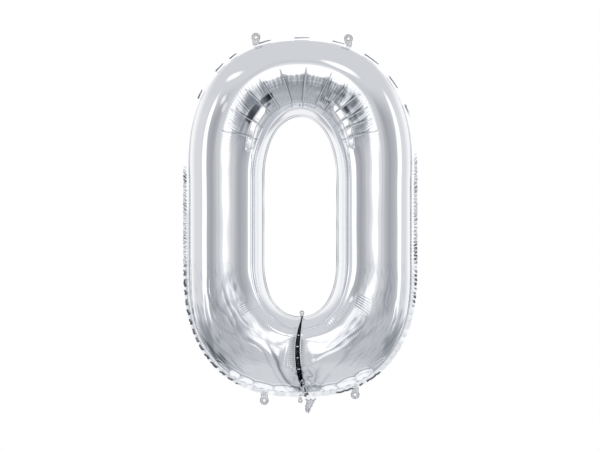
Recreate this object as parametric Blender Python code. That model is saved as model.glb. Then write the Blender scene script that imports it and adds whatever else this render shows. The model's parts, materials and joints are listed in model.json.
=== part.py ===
"""A foil number balloon in the shape of a 0, inflated, with its valve tail and hanging tabs.

Two mirrored foil panels are sealed to each other along an outer seam, round the hole, and on both
sides of a slit that crosses the ring at the bottom. Outside each seam the two plies stay flat as a
rim, and the web in the slit joins the ring's two end lobes. The self-sealing valve is two clear
films: their lips lie between the plies of the tail and their flaps stand inside the right lobe.

Metres, +Z up, the balloon's front faces -Y. The origin is below the middle of the ring, level with
the lowest edge of the tail.
"""

from collections import namedtuple
from math import asin, copysign, cos, hypot, pi, sin

import bmesh
import bpy
from mathutils import Matrix, Vector

# Driving dimensions of the inflated balloon
RING_HEIGHT = 0.860
RING_WIDTH = 0.560
TUBE_WIDTH = 0.1780  # seam to seam at the sides
TUBE_DEPTH = 0.1780
RIM_WIDTH = 0.012
HOLE_RIM_WIDTH = 0.004
TAIL_DROP = 0.034  # how far the tail and its valve lips reach below the rim

# The ends of the 0: each outline is two half superellipses joined by straight sides. A power of 2
# is an ellipse, and more is squarer
TOP_CENTRE = TAIL_DROP + 0.535
TOP_RISE = TAIL_DROP + RING_HEIGHT - TOP_CENTRE
TOP_POWER = 2.3
LOW_DROP = 0.313
LOW_CENTRE = TAIL_DROP + LOW_DROP
LOW_POWER = 2.45
HOLE_TOP_CENTRE = TAIL_DROP + 0.520
HOLE_TOP_RISE = 0.149
HOLE_TOP_POWER = 2.1
HOLE_LOW_CENTRE = TAIL_DROP + 0.326
HOLE_LOW_DROP = 0.133
HOLE_LOW_POWER = 2.25

# The slit across the bottom of the ring, which bows to the left between its two ends
SLIT_LOW_X = 0.012
SLIT_HIGH_X = 0.004
SLIT_BOW = 0.015
SLIT_BOW_REACH = 0.35  # share of the lower quarter over which the bow dies out
WEB_WIDTH = 0.006
SHOULDER_REACH = 0.13  # share of the lower quarter over which a lobe's end rounds over
SHOULDER_POWER = 2.6
PERFORATION_RADIUS = 0.0011
PERFORATIONS = 4
PERFORATION_LOW, PERFORATION_STEP = 0.31, 0.153  # places along the slit, as shares of its length

# Films. Real foil is about 0.04 mm thick, so these are stand-ins that a solid model can hold
FOIL = 0.0005
FILM = 0.0003
GAP = 0.0003

# Tabs. hole_drop runs from the rim's edge to the centre of the tab's hole
TabSizes = namedtuple("TabSizes", "head_radius neck_width hole_radius hole_drop")
HANG_TAB = TabSizes(0.0105, 0.0165, 0.00325, 0.0150)
SMALL_TAB = TabSizes(0.0055, 0.0080, 0.0018, 0.0085)
TAB_CLEARANCE = 0.0010  # bending room at the foot
TOP_LEFT_TAB_X = -0.106
TOP_RIGHT_TAB_X = 0.115
BOTTOM_LEFT_TAB_X = -0.086
BOTTOM_RIGHT_TAB_X = 0.131
TAIL_TAB_X = 0.000

# Tail and valve
TAIL_X = 0.024
TAIL_ROOT_WIDTH = 0.032
TAIL_MOUTH_WIDTH = 0.024
TAIL_CORNER = 0.004
TAIL_BEND_ROOM = 0.0016  # the outer faces of the tail's plies swing up into this
VALVE_WIDTH = 0.016
VALVE_CORNER = 0.003
LIP_OVERHANG = 0.003
FLAP_LENGTH = 0.100
FLAP_SEAM_CLEARANCE = 0.002

# Facets
SHOULDER_STEPS = 6
LOW_ARC_STEPS = 12
SIDE_STEPS = 3
TOP_ARC_STEPS = 14  # per quarter
SECTION_STEPS = 12
ROUND_STEPS = 32
SMALL_ROUND_STEPS = 16

# centre, reach and power describe the half superellipse at one end of a loop
End = namedtuple("End", "centre reach power")
Loop = namedtuple("Loop", "half_width low top slit_x")


def outer_loop(inset):
    """The outer outline, moved in by inset."""
    low = End(LOW_CENTRE, LOW_DROP - inset, LOW_POWER)
    top = End(TOP_CENTRE, TOP_RISE - inset, TOP_POWER)
    return Loop(RING_WIDTH / 2 - inset, low, top, SLIT_LOW_X)


def hole_loop(outset):
    """The hole's outline, moved out by outset."""
    half_width = RING_WIDTH / 2 - RIM_WIDTH - TUBE_WIDTH - HOLE_RIM_WIDTH
    low = End(HOLE_LOW_CENTRE, HOLE_LOW_DROP + outset, HOLE_LOW_POWER)
    top = End(HOLE_TOP_CENTRE, HOLE_TOP_RISE + outset, HOLE_TOP_POWER)
    return Loop(half_width + outset, low, top, SLIT_HIGH_X)


RIM_EDGE = outer_loop(0)
OUTER_SEAM = outer_loop(RIM_WIDTH)
HOLE_SEAM = hole_loop(HOLE_RIM_WIDTH)
HOLE_EDGE = hole_loop(0)


def signed_power(value, power):
    return copysign(abs(value) ** power, value)


def end_point(loop, end, up, turn):
    """(x, z) on one end of a loop. turn is 0 in the middle of the end and +-pi / 2 at its sides."""
    x = loop.half_width * signed_power(sin(turn), 2 / end.power)
    return x, end.centre + up * end.reach * abs(cos(turn)) ** (2 / end.power)


def loop_point(loop, side, t):
    """(x, z) on a loop: side is -1 left or +1 right; t runs 0 at the slit, 1 and 2 at the two ends of
    the straight side, and 3 at the top."""
    if 1 < t < 2:
        return side * loop.half_width, loop.low.centre + (loop.top.centre - loop.low.centre) * (t - 1)
    if t >= 2:
        return end_point(loop, loop.top, 1, side * pi / 2 * (3 - t))
    slit_edge = loop.slit_x + side * WEB_WIDTH / 2
    start = asin(signed_power(slit_edge / loop.half_width, loop.low.power / 2))
    return end_point(loop, loop.low, -1, start + (side * pi / 2 - start) * t)


def shoulder(t):
    """How full the tube is at t: 0 on the slit's edge, rounding over to 1."""
    if t >= SHOULDER_REACH:
        return 1.0
    short = 1 - t / SHOULDER_REACH
    return (1 - short**SHOULDER_POWER) ** (1 / SHOULDER_POWER)


def slit_bow(t):
    """How strongly the section at t follows the bow of the slit."""
    return max(0.0, 1 - t / SLIT_BOW_REACH) ** 2


def section(side, t):
    """The front panel's outer surface across the ring at t, from the rim's edge to the hole's edge."""
    ply_y = -(GAP / 2 + FOIL)
    rim_x, rim_z = loop_point(RIM_EDGE, side, t)
    out_x, out_z = loop_point(OUTER_SEAM, side, t)
    in_x, in_z = loop_point(HOLE_SEAM, side, t)
    edge_x, edge_z = loop_point(HOLE_EDGE, side, t)
    points = [(rim_x, ply_y, rim_z)]
    for step in range(SECTION_STEPS + 1):
        turn = pi * step / SECTION_STEPS
        across = (1 - cos(turn)) / 2
        x = out_x + (in_x - out_x) * across - SLIT_BOW * slit_bow(t) * sin(turn) ** 2
        z = out_z + (in_z - out_z) * across
        points.append((x, ply_y - TUBE_DEPTH / 2 * sin(turn) * shoulder(t), z))
    points.append((edge_x, ply_y, edge_z))
    return points


def stations():
    """Values of t from the slit to the top, closer together where a lobe's end rounds over."""
    steps = [
        SHOULDER_REACH * (1 - cos(pi / 2 * k / SHOULDER_STEPS)) for k in range(SHOULDER_STEPS)
    ]
    rest = 1 - SHOULDER_REACH
    steps += [SHOULDER_REACH + rest * k / LOW_ARC_STEPS for k in range(LOW_ARC_STEPS)]
    steps += [1 + k / SIDE_STEPS for k in range(SIDE_STEPS)]
    steps += [2 + k / TOP_ARC_STEPS for k in range(TOP_ARC_STEPS + 1)]
    return steps


def material(name, colour, roughness, metallic):
    made = bpy.data.materials.new(name)
    made.use_nodes = True
    shader = made.node_tree.nodes["Principled BSDF"]
    shader.inputs["Base Color"].default_value = (*colour, 1)
    shader.inputs["Roughness"].default_value = roughness
    shader.inputs["Metallic"].default_value = metallic
    return made


def add_object(name, mesh, finish):
    made = bpy.data.objects.new(name, mesh)
    bpy.context.scene.collection.objects.link(made)
    mesh.materials.append(finish)
    return made


def front_panel_mesh():
    """The front panel as a sheet: a closed band of sections, the last strip being the slit's web."""
    left = [section(-1, t) for t in stations()]
    right = [section(1, t) for t in reversed(stations()[:-1])]
    rows = left + right
    mesh = bpy.data.meshes.new("panel")
    work = bmesh.new()
    grid = [[work.verts.new(point) for point in row] for row in rows]
    for row, after in zip(grid, grid[1:] + grid[:1]):
        for k in range(len(row) - 1):
            work.faces.new((row[k], row[k + 1], after[k + 1], after[k]))
    for face in work.faces:
        face.smooth = True
    work.normal_update()
    work.to_mesh(mesh)
    work.free()
    return mesh


def perforation_cutter():
    """Round pins through the web, evenly spaced along the bowed slit."""
    mesh = bpy.data.meshes.new("perforation_cutter")
    work = bmesh.new()
    low_z = OUTER_SEAM.low.centre - OUTER_SEAM.low.reach
    high_z = HOLE_SEAM.low.centre - HOLE_SEAM.low.reach
    for k in range(PERFORATIONS):
        across = PERFORATION_LOW + PERFORATION_STEP * k
        bow = SLIT_BOW * 4 * across * (1 - across)
        x = SLIT_LOW_X + (SLIT_HIGH_X - SLIT_LOW_X) * across - bow
        place = Matrix.Translation((x, 0, low_z + (high_z - low_z) * across))
        bmesh.ops.create_cone(
            work,
            cap_ends=True,
            segments=SMALL_ROUND_STEPS,
            radius1=PERFORATION_RADIUS,
            radius2=PERFORATION_RADIUS,
            depth=8 * FOIL,
            matrix=place @ Matrix.Rotation(pi / 2, 4, "X"),
        )
    work.to_mesh(mesh)
    work.free()
    cutter = bpy.data.objects.new("perforation_cutter", mesh)
    bpy.context.scene.collection.objects.link(cutter)
    cutter.hide_render = True
    cutter.display_type = "WIRE"
    return cutter


def add_panel(name, mesh, finish, cutter):
    """A sheet given its foil thickness on its inner side, with its web perforated."""
    panel = add_object(name, mesh, finish)
    thicken = panel.modifiers.new("foil", "SOLIDIFY")
    thicken.thickness = FOIL
    thicken.offset = -1
    cut = panel.modifiers.new("perforations", "BOOLEAN")
    cut.operation = "DIFFERENCE"
    cut.solver = "EXACT"
    cut.object = cutter


def mirrored(mesh):
    """A copy of a mesh, mirrored front to back."""
    copy = mesh.copy()
    copy.transform(Matrix.Scale(-1, 4, Vector((0, 1, 0))))
    copy.flip_normals()
    return copy


def holed_plate(name, reach_at, hole_radius, finish):
    """A flat plate of both plies in the XZ plane, round a hole at the origin. reach_at(angle) is how
    far its edge is from the hole's centre."""
    mesh = bpy.data.meshes.new(name)
    work = bmesh.new()
    angles = [2 * pi * k / ROUND_STEPS for k in range(ROUND_STEPS)]
    edge = [reach_at(angle) for angle in angles]
    hole = [hole_radius] * ROUND_STEPS
    rings = []
    for y, radii in ((-FOIL, edge), (FOIL, edge), (FOIL, hole), (-FOIL, hole)):
        points = [(r * cos(angle), y, r * sin(angle)) for r, angle in zip(radii, angles)]
        rings.append([work.verts.new(point) for point in points])
    for ring, after in zip(rings, rings[1:] + rings[:1]):
        for k in range(ROUND_STEPS):
            n = (k + 1) % ROUND_STEPS
            work.faces.new((ring[k], ring[n], after[n], after[k]))
    bmesh.ops.recalc_face_normals(work, faces=work.faces)
    work.to_mesh(mesh)
    work.free()
    return add_object(name, mesh, finish)


def rim_end(loop, x, up):
    """(z, slope) of a loop's upper or lower end at x."""
    end = loop.top if up > 0 else loop.low
    across = abs(x) / loop.half_width
    height = (1 - across**end.power) ** (1 / end.power)
    slope = end.reach / loop.half_width * (across / height) ** (end.power - 1)
    return end.centre + up * end.reach * height, copysign(slope, -up * x)


def add_tab(name, loop, x, rim_up, up, sizes, finish):
    """A tab of both plies fused: a round head on a straight neck, upright above or below its root on
    a loop's upper or lower end. The neck's foot runs along the rim, just clear of it, and the
    object's origin is on the rim's edge, where the tab bends."""
    z, slope = rim_end(loop, x, rim_up)
    clearance = TAB_CLEARANCE * hypot(1, slope)

    def reach_at(angle):
        across = cos(angle)
        rise = up * sin(angle)
        reach = sizes.head_radius
        if rise < 0:
            reach = max(reach, sizes.neck_width / 2 / max(abs(across), 1e-6))
        towards_foot = up * slope * across - rise
        if towards_foot > 0:
            reach = min(reach, (sizes.hole_drop - clearance) / towards_foot)
        return reach

    tab = holed_plate(name, reach_at, sizes.hole_radius, finish)
    tab.data.transform(Matrix.Translation((0, 0, up * sizes.hole_drop)))
    tab.location = (x, 0, z)


def add_plate(name, outline, near_y, far_y, finish, origin):
    """A flat plate: an outline of (x, z) points between two y values, with the object's origin moved
    onto its joint's axis."""
    mesh = bpy.data.meshes.new(name)
    work = bmesh.new()
    corners = [work.verts.new((x, near_y, z)) for x, z in outline]
    work.faces.new(corners)
    made = bmesh.ops.extrude_face_region(work, geom=list(work.faces))
    moved = [item for item in made["geom"] if isinstance(item, bmesh.types.BMVert)]
    bmesh.ops.translate(work, verts=moved, vec=(0, far_y - near_y, 0))
    bmesh.ops.recalc_face_normals(work, faces=work.faces)
    work.to_mesh(mesh)
    work.free()
    mesh.transform(Matrix.Translation(-Vector(origin)))
    plate = add_object(name, mesh, finish)
    plate.location = origin


def tongue(x, root_z, root_width, tip_z, tip_width, corner):
    """The outline of a strip that tapers from its root to a tip with two rounded corners."""
    lean = 1 if tip_z > root_z else -1
    points = [(x - root_width / 2, root_z), (x + root_width / 2, root_z)]
    steps = SMALL_ROUND_STEPS // 4
    for side in (1, -1):
        for k in range(steps + 1):
            turn = pi / 2 * (k if side > 0 else steps - k) / steps
            across = tip_width / 2 - corner + corner * cos(turn)
            points.append((x + side * across, tip_z - lean * corner * (1 - sin(turn))))
    return points


def add_tail(foil, film):
    """The tail's two plies with the valve's lips between them, hanging from the lower rim."""
    rim_z, _ = rim_end(RIM_EDGE, TAIL_X, -1)
    root_z = rim_z - TAIL_BEND_ROOM
    axis = (TAIL_X, 0, rim_z)
    ply = tongue(TAIL_X, root_z, TAIL_ROOT_WIDTH, LIP_OVERHANG, TAIL_MOUTH_WIDTH, TAIL_CORNER)
    lip = tongue(TAIL_X, root_z, VALVE_WIDTH, 0, VALVE_WIDTH, VALVE_CORNER)
    film_near, film_far = GAP / 2, GAP / 2 + FILM
    ply_near, ply_far = film_far + GAP, film_far + GAP + FOIL
    for name, outline, near, far, finish in (
        ("tail_{}_ply", ply, ply_near, ply_far, foil),
        ("valve_{}_lip", lip, film_near, film_far, film),
    ):
        add_plate(name.format("front"), outline, -far, -near, finish, axis)
        add_plate(name.format("back"), outline, near, far, finish, axis)


def add_valve_flaps(film):
    """The valve's inner ends: two film flaps standing inside the right lobe above the tail."""
    seam_z, _ = rim_end(OUTER_SEAM, TAIL_X, -1)
    root_z = seam_z + FLAP_SEAM_CLEARANCE
    tip_z = root_z + FLAP_LENGTH
    outline = tongue(TAIL_X, root_z, VALVE_WIDTH, tip_z, VALVE_WIDTH, VALVE_CORNER)
    near, far = GAP / 2, GAP / 2 + FILM
    axis = (TAIL_X, 0, root_z)
    add_plate("valve_front_flap", outline, -far, -near, film, axis)
    add_plate("valve_back_flap", outline, near, far, film, axis)


def main():
    for old in list(bpy.data.objects):
        bpy.data.objects.remove(old)
    foil = material("silver_foil", (0.80, 0.81, 0.83), 0.08, 1.0)
    film = material("clear_film", (0.86, 0.89, 0.92), 0.25, 0.0)

    cutter = perforation_cutter()
    front = front_panel_mesh()
    add_panel("front_foil_panel", front, foil, cutter)
    add_panel("back_foil_panel", mirrored(front), foil, cutter)

    add_tab("hang_tab_top_left", RIM_EDGE, TOP_LEFT_TAB_X, 1, 1, HANG_TAB, foil)
    add_tab("hang_tab_top_right", RIM_EDGE, TOP_RIGHT_TAB_X, 1, 1, HANG_TAB, foil)
    add_tab("hang_tab_bottom_left", RIM_EDGE, BOTTOM_LEFT_TAB_X, -1, -1, HANG_TAB, foil)
    add_tab("hang_tab_bottom_right", RIM_EDGE, BOTTOM_RIGHT_TAB_X, -1, -1, HANG_TAB, foil)
    add_tab("tail_tab", RIM_EDGE, TAIL_TAB_X, -1, -1, SMALL_TAB, foil)
    add_tab("hole_tab", HOLE_EDGE, SLIT_HIGH_X, -1, 1, SMALL_TAB, foil)

    add_tail(foil, film)
    add_valve_flaps(film)


main()
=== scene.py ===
"""Looks of the foil number balloon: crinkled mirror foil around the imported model, and a white studio."""

import json
from collections import namedtuple
from math import pi

import bmesh
import bpy
import numpy as np
from numpy import abs, array, clip, cos, exp, interp, linspace, maximum, radians, sin, stack, where
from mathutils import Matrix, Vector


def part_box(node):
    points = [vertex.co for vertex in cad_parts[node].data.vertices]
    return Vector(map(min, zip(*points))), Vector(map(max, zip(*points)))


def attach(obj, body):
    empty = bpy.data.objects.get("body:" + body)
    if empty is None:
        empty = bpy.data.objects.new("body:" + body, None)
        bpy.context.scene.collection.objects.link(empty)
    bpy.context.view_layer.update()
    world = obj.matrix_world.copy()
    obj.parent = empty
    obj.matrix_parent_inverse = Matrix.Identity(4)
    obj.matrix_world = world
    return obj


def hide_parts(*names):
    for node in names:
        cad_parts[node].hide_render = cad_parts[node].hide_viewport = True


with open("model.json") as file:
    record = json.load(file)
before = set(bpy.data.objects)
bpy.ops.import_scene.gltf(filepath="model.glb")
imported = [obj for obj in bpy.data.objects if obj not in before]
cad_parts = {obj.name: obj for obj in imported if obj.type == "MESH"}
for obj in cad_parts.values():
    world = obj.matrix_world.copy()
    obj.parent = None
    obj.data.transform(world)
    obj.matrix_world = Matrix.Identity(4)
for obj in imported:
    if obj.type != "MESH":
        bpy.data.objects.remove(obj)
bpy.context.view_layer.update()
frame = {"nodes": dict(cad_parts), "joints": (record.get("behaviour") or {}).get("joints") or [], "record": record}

MM = 0.001

# ---- sizes taken from the frame
PANEL_LOW, PANEL_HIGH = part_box("front_foil_panel")
RIM_LOW_Z = PANEL_LOW.z
RING_WIDTH = PANEL_HIGH.x - PANEL_LOW.x
RING_HEIGHT = PANEL_HIGH.z - PANEL_LOW.z
PLY_Y = 0.0004  # how far each ply of the rim stands from the seam plane
TUBE_DEPTH = -PANEL_LOW.y - PLY_Y
RIM_WIDTH = 0.0214 * RING_WIDTH
HOLE_RIM_WIDTH = 0.0071 * RING_WIDTH
TUBE_WIDTH = 0.318 * RING_WIDTH

# One end of an outline: the height of its centre, its reach from there, and the power of its curve
End = namedtuple("End", "centre reach power")
Loop = namedtuple("Loop", "half_width low top slit_x")
# The slit: the places of its two ends, how far it bows in between, and the web in it
SLIT_LOW_X = 0.0214 * RING_WIDTH
SLIT_HIGH_X = 0.0071 * RING_WIDTH
SLIT_BOW = 0.0268 * RING_WIDTH
SLIT_BOW_REACH = 0.35
WEB_WIDTH = 0.0107 * RING_WIDTH
MID_SLIT_X = (SLIT_LOW_X + SLIT_HIGH_X) / 2


def end(centre, reach, inset, power):
    return End(RIM_LOW_Z + centre * RING_HEIGHT, reach * RING_HEIGHT - inset, power)


def outer_loop(inset):
    low = end(0.3640, 0.3640, inset, 2.45)
    top = end(0.6221, 0.3779, inset, 2.3)
    return Loop(RING_WIDTH / 2 - inset, low, top, SLIT_LOW_X)


def hole_loop(outset):
    half_width = RING_WIDTH / 2 - RIM_WIDTH - TUBE_WIDTH - HOLE_RIM_WIDTH + outset
    low = end(0.3791, 0.1547, -outset, 2.25)
    top = end(0.6047, 0.1733, -outset, 2.1)
    return Loop(half_width, low, top, SLIT_HIGH_X)


RIM_EDGE = outer_loop(0)
OUTER_SEAM = outer_loop(RIM_WIDTH)
HOLE_SEAM = hole_loop(HOLE_RIM_WIDTH)
HOLE_EDGE = hole_loop(0)
TOP_CURL = 0.40  # shares of the rim's width by which the seam moves out at the top and in at the sides
SIDE_SPREAD = 0.20


# ---- the ring's own coordinates
# side is -1 left or +1 right. t runs 0 at the slit, 1 and 2 at the ends of the straight side, 3 at
# the top. turn runs 0 at the outer seam, 90 degrees at the crest and 180 at the hole's seam.
def signed_power(value, power):
    return np.sign(value) * abs(value) ** power


def loop_points(loop, side, t):
    """x and z on a loop, for arrays side and t."""
    low, top = loop.low, loop.top
    slit_edge = loop.slit_x + side * WEB_WIDTH / 2
    start = np.arcsin(signed_power(slit_edge / loop.half_width, low.power / 2))
    turn = start + (side * pi / 2 - start) * clip(t, 0, 1)
    x_low = loop.half_width * signed_power(sin(turn), 2 / low.power)
    z_low = low.centre - low.reach * abs(cos(turn)) ** (2 / low.power)
    turn = side * pi / 2 * (3 - clip(t, 2, 3))
    x_top = loop.half_width * signed_power(sin(turn), 2 / top.power)
    z_top = top.centre + top.reach * abs(cos(turn)) ** (2 / top.power)
    x_mid = side * loop.half_width
    z_mid = low.centre + (top.centre - low.centre) * (t - 1)
    x = where(t < 1, x_low, where(t < 2, x_mid, x_top))
    z = where(t < 1, z_low, where(t < 2, z_mid, z_top))
    return x, z


def between(first, second, share):
    """Part of the way from one place to another, for each of their coordinates."""
    return [a + (b - a) * share for a, b in zip(first, second)]


def outer_seam(side, t):
    """The outer seam, nearer the rim's edge at the top, where the rim curls, and further in at the sides."""
    share = TOP_CURL * ease(t, 2.0, 2.5) - SIDE_SPREAD * window(t, 1.0, 1.9, 0.3)
    return between(loop_points(OUTER_SEAM, side, t), loop_points(RIM_EDGE, side, t), share)


def run_length(steps):
    """How far along a line each of its points lies."""
    return np.concatenate(([0], np.cumsum(steps)))


def ease(value, low, high):
    """0 up to low, 1 from high on, and a smooth rise between them."""
    share = clip((value - low) / (high - low), 0, 1)
    return share * share * (3 - 2 * share)


def soft_positive(value, softness):
    """max(value, 0) with its corner rounded over softness."""
    return (value + np.sqrt(value * value + softness * softness)) / 2


# ---- meshes
def squares(rows, columns):
    """The four corners of each square of a grid of points."""
    index = np.arange(rows * columns).reshape(rows, columns)
    corners = (index[:-1, :-1], index[:-1, 1:], index[1:, 1:], index[1:, :-1])
    return stack(corners, -1).reshape(-1, 4)


# Stores painted shade, 0..1, as the point attribute "shade".
def add_shade(mesh, values):
    layer = mesh.attributes.new("shade", "FLOAT", "POINT")
    layer.data.foreach_set("value", np.ascontiguousarray(values, np.float32).reshape(-1))


def mesh_from_grid(name, points):
    """A mesh from a grid of points (rows, columns, 3)."""
    quads = squares(*points.shape[:2])
    mesh = bpy.data.meshes.new(name)
    mesh.vertices.add(points.size // 3)
    mesh.vertices.foreach_set("co", points.reshape(-1).astype(np.float32))
    mesh.loops.add(quads.size)
    mesh.loops.foreach_set("vertex_index", quads.reshape(-1).astype(np.int32))
    mesh.polygons.add(len(quads))
    mesh.polygons.foreach_set("loop_start", np.arange(0, quads.size, 4, dtype=np.int32))
    mesh.update(calc_edges=True)
    mesh.shade_smooth()
    return mesh


def join_grids(name, grids, shades):
    """One mesh from several grids of points, with doubled points welded."""
    points, faces, values = [], [], []
    for grid, shade in zip(grids, shades):
        faces += (squares(*grid.shape[:2]) + len(points)).tolist()
        points += grid.reshape(-1, 3).tolist()
        values += np.broadcast_to(shade, grid.shape[:2]).reshape(-1).tolist()
    mesh = bpy.data.meshes.new(name)
    mesh.from_pydata(points, [], faces)
    add_shade(mesh, values)
    work = bmesh.new()
    work.from_mesh(mesh)
    bmesh.ops.remove_doubles(work, verts=work.verts, dist=1e-6)
    work.to_mesh(mesh)
    work.free()
    mesh.shade_smooth()
    return mesh


def sheet(name, x, y, z, shade):
    return join_grids(name, [stack(np.broadcast_arrays(x, y, z), -1)], [shade])


def add_object(name, data):
    added = bpy.data.objects.new(name, data)
    bpy.context.scene.collection.objects.link(added)
    return added


def add_piece(mesh, finish, body, replaced=None):
    """Adds a mesh as a piece that rides on a body, perhaps in place of one of the CAD's nodes."""
    piece = add_object(mesh.name, mesh)
    mesh.materials.append(finish)
    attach(piece, body)
    if replaced:
        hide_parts(replaced)
    return piece


# ---- node helpers
def new_material(name):
    made = bpy.data.materials.new(name)
    made.use_nodes = True
    return made, made.node_tree, made.node_tree.nodes["Principled BSDF"]


def feed(tree, node, inputs):
    """Sets a node's inputs, each to a number, a colour or the output of another node."""
    for key, value in inputs.items():
        socket = node.inputs[key]
        if isinstance(value, bpy.types.NodeSocket):
            tree.links.new(value, socket)
        elif isinstance(value, tuple) and len(value) < len(socket.default_value):
            socket.default_value = (*value, 1)
        else:
            socket.default_value = value


def add_node(tree, kind, inputs, output=0, **settings):
    """Adds a shader node and gives one of its outputs."""
    node = tree.nodes.new("ShaderNode" + kind)
    for key, value in settings.items():
        setattr(node, key, value)
    feed(tree, node, inputs)
    return node.outputs[output]


def maths(tree, operation, *values):
    return add_node(tree, "Math", dict(enumerate(values)), operation=operation)


def ramp_node(tree, factor, stops):
    """A colour ramp through (position, colour) stops, read as its colour."""
    colour = add_node(tree, "ValToRGB", {0: factor})
    marks = colour.node.color_ramp.elements
    while len(marks) < len(stops):
        marks.new(0.5)
    for mark, (position, shade) in zip(marks, stops):
        mark.position = position
        mark.color = (*shade, 1)
    return colour


def range_node(tree, value, low, high, to_low=0.0, to_high=1.0):
    """value from low..high mapped smoothly to to_low..to_high and clamped."""
    inputs = {"Value": value, "From Min": low, "From Max": high, "To Min": to_low, "To Max": to_high}
    return add_node(tree, "MapRange", inputs, interpolation_type="SMOOTHSTEP")


def mix_colour(tree, factor, a, b):
    return add_node(tree, "Mix", {0: factor, 6: a, 7: b}, 2, data_type="RGBA")


def noise_node(tree, scale, detail=2.0):
    """A noise pattern, 0 to 1, with scale cells to the metre."""
    inputs = {"Scale": scale, "Detail": detail, "Vector": add_node(tree, "TexCoord", {}, "Object")}
    return add_node(tree, "TexNoise", inputs)


def shade_node(tree):
    """The point attribute "shade", which holds painted shade: 1 where none is painted, falling towards 0 in
    painted folds, creases, edges and in the slit.
    """
    return add_node(tree, "Attribute", {}, "Fac", attribute_name="shade")


# ---- materials
SILVER = (0.955, 0.965, 0.985)
# Where shade is painted into the foil, its colour leans towards this slightly blue tint.
SHADED_SILVER = (0.86, 0.93, 1.06)  # dark places in the foil look slightly blue
# The film's colour where shade is painted, along its cut edges and in its folds, then its colour where none is.
FILM_SHADE, FILM_FLAT = (0.16, 0.17, 0.19), (0.93, 0.94, 0.96)


def foil_material():
    """Mirror foil whose colour is darkened and tinted by the painted shade in the point attribute "shade"."""
    made, tree, shader = new_material("silver_foil")
    shade = shade_node(tree)
    tint = mix_colour(tree, shade, SHADED_SILVER, SILVER)
    colour = add_node(tree, "VectorMath", {0: tint, "Scale": shade}, operation="SCALE")
    roughness = range_node(tree, noise_node(tree, 55), 0.35, 0.75, 0.035, 0.075)
    feed(tree, shader, {"Base Color": colour, "Metallic": 1.0, "Roughness": roughness})
    return made


def film_material(name, alpha, shaded=True):
    """Crinkled thin film that lets some light through. Its cut edges and folds are painted grey with shade, and it
    is less clear there.
    """
    made, tree, shader = new_material(name)
    level = shade_node(tree) if shaded else 1.0
    crinkle = noise_node(tree, 260, 3)
    bright = maths(tree, "MULTIPLY", level, maths(tree, "MULTIPLY_ADD", crinkle, 0.5, 0.72))
    feed(tree, shader, {
        "Base Color": mix_colour(tree, bright, FILM_SHADE, FILM_FLAT),
        "Metallic": 0.55,
        "Roughness": range_node(tree, crinkle, 0.3, 0.7, 0.12, 0.35),
        "Alpha": range_node(tree, level, 0.35, 0.85, 1.0, alpha),
        "Normal": add_node(tree, "Bump", {"Strength": 0.35, "Distance": 0.4 * MM, "Height": crinkle}),
    })
    return made


# ---- the foil panels
ROWS = 2100
DOME_COLUMNS = 200
RIM_COLUMNS = 8
TOP_FROM, TOP_CROWDING = 2.1, 1.7  # past this t the rows stand closer by this factor
# Beside the slit each lobe climbs a steep wall from the web, then rounds off over a few cm
WALL_SHARE = 0.87
WALL_SPREAD = 0.9 * MM
SHOULDER_REACH = 42 * MM
SHOULDER_POWER = 2.2


def slit_distance(side, t):
    """How far a row's middle lies from the web's edge. Rows past the slit's reach count as far away."""
    x, _ = between(loop_points(OUTER_SEAM, side, t), loop_points(HOLE_SEAM, side, t), 0.5)
    return maximum(abs(x - MID_SLIT_X) - WEB_WIDTH / 2, 0) + (t > SLIT_BOW_REACH)


def shoulder(side, t):
    """The tube's height near the slit, as a share of its full height."""
    distance = slit_distance(side, t)
    wall = 1 - exp(-distance / WALL_SPREAD)
    short = 1 - clip(distance / SHOULDER_REACH, 0, 1)
    return WALL_SHARE * wall + (1 - WALL_SHARE) * (1 - short**SHOULDER_POWER) ** (1 / SHOULDER_POWER)


def even_stations(count):
    """side and t, as columns, of rows spaced along the ring's crest, from the slit up the left to the top
    and down the right. They crowd at the slit, where the crest drops, and at the creased top."""
    t = linspace(0, 1, 6001) ** 2 * 3
    side = np.repeat((-1.0, 1.0), t.size)
    t = np.concatenate((t, t[::-1]))
    x, z = between(outer_seam(side, t), loop_points(HOLE_SEAM, side, t), 0.5)
    steps = np.diff(stack((x, z, TUBE_DEPTH * shoulder(side, t))), axis=1)
    along = run_length(np.sqrt((steps**2).sum(0)) * where(t[1:] > TOP_FROM, TOP_CROWDING, 1.0))
    ring = interp(linspace(0, along[-1], count), along, side * (3 - t))[:, None]
    return where(ring < 0, -1.0, 1.0), 3 - abs(ring)


class Folds:
    """Sharp folds at uneven places along a line, shortest to longest mm apart, with bulges between."""

    def __init__(self, length, shortest, longest, seed):
        random = np.random.default_rng(seed)
        shortest, longest = shortest * MM, longest * MM
        gaps = random.uniform(shortest, longest, int(2 * length / (shortest + longest)) + 2)
        self.places = np.cumsum(gaps) - gaps[0] / 2
        self.depths = random.uniform(0.45, 1.0, self.places.size)
        self.leans = random.uniform(-1.0, 1.0, self.places.size)

    def look(self, along):
        """Distance to the nearest fold, its depth, the share of the way to the next fold, and lean -1..1."""
        after = clip(np.searchsorted(self.places, along), 1, self.places.size - 1)
        before = after - 1
        gap = self.places[after] - self.places[before]
        share = clip((along - self.places[before]) / gap, 0, 1)
        nearer = where(share < 0.5, before, after)
        distance = np.minimum(share, 1 - share) * gap
        return distance, self.depths[nearer], share, self.leans[before]


def bulge(share):
    """0 at a fold, 1 halfway between two folds."""
    return 4 * share * (1 - share)


def ridge(value, centre, width, power=2):
    """1 at the centre, falling to 0 on both sides of it."""
    return exp(-(((value - centre) / width) ** power))


def waves(along, across, wavelength, seed, count=5, stretch=1.0):
    """A random ripple of about unit size, its wavelength in mm. stretch lengthens it along."""
    random = np.random.default_rng(seed)
    total = 0
    for _ in range(count):
        angle = random.uniform(0, 2 * pi)
        size = 2 * pi / (wavelength * MM * random.uniform(0.7, 1.5))
        way = along / stretch * cos(angle) + across * sin(angle)
        total = total + sin(size * way + random.uniform(0, 2 * pi))
    return total / count**0.5


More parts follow.
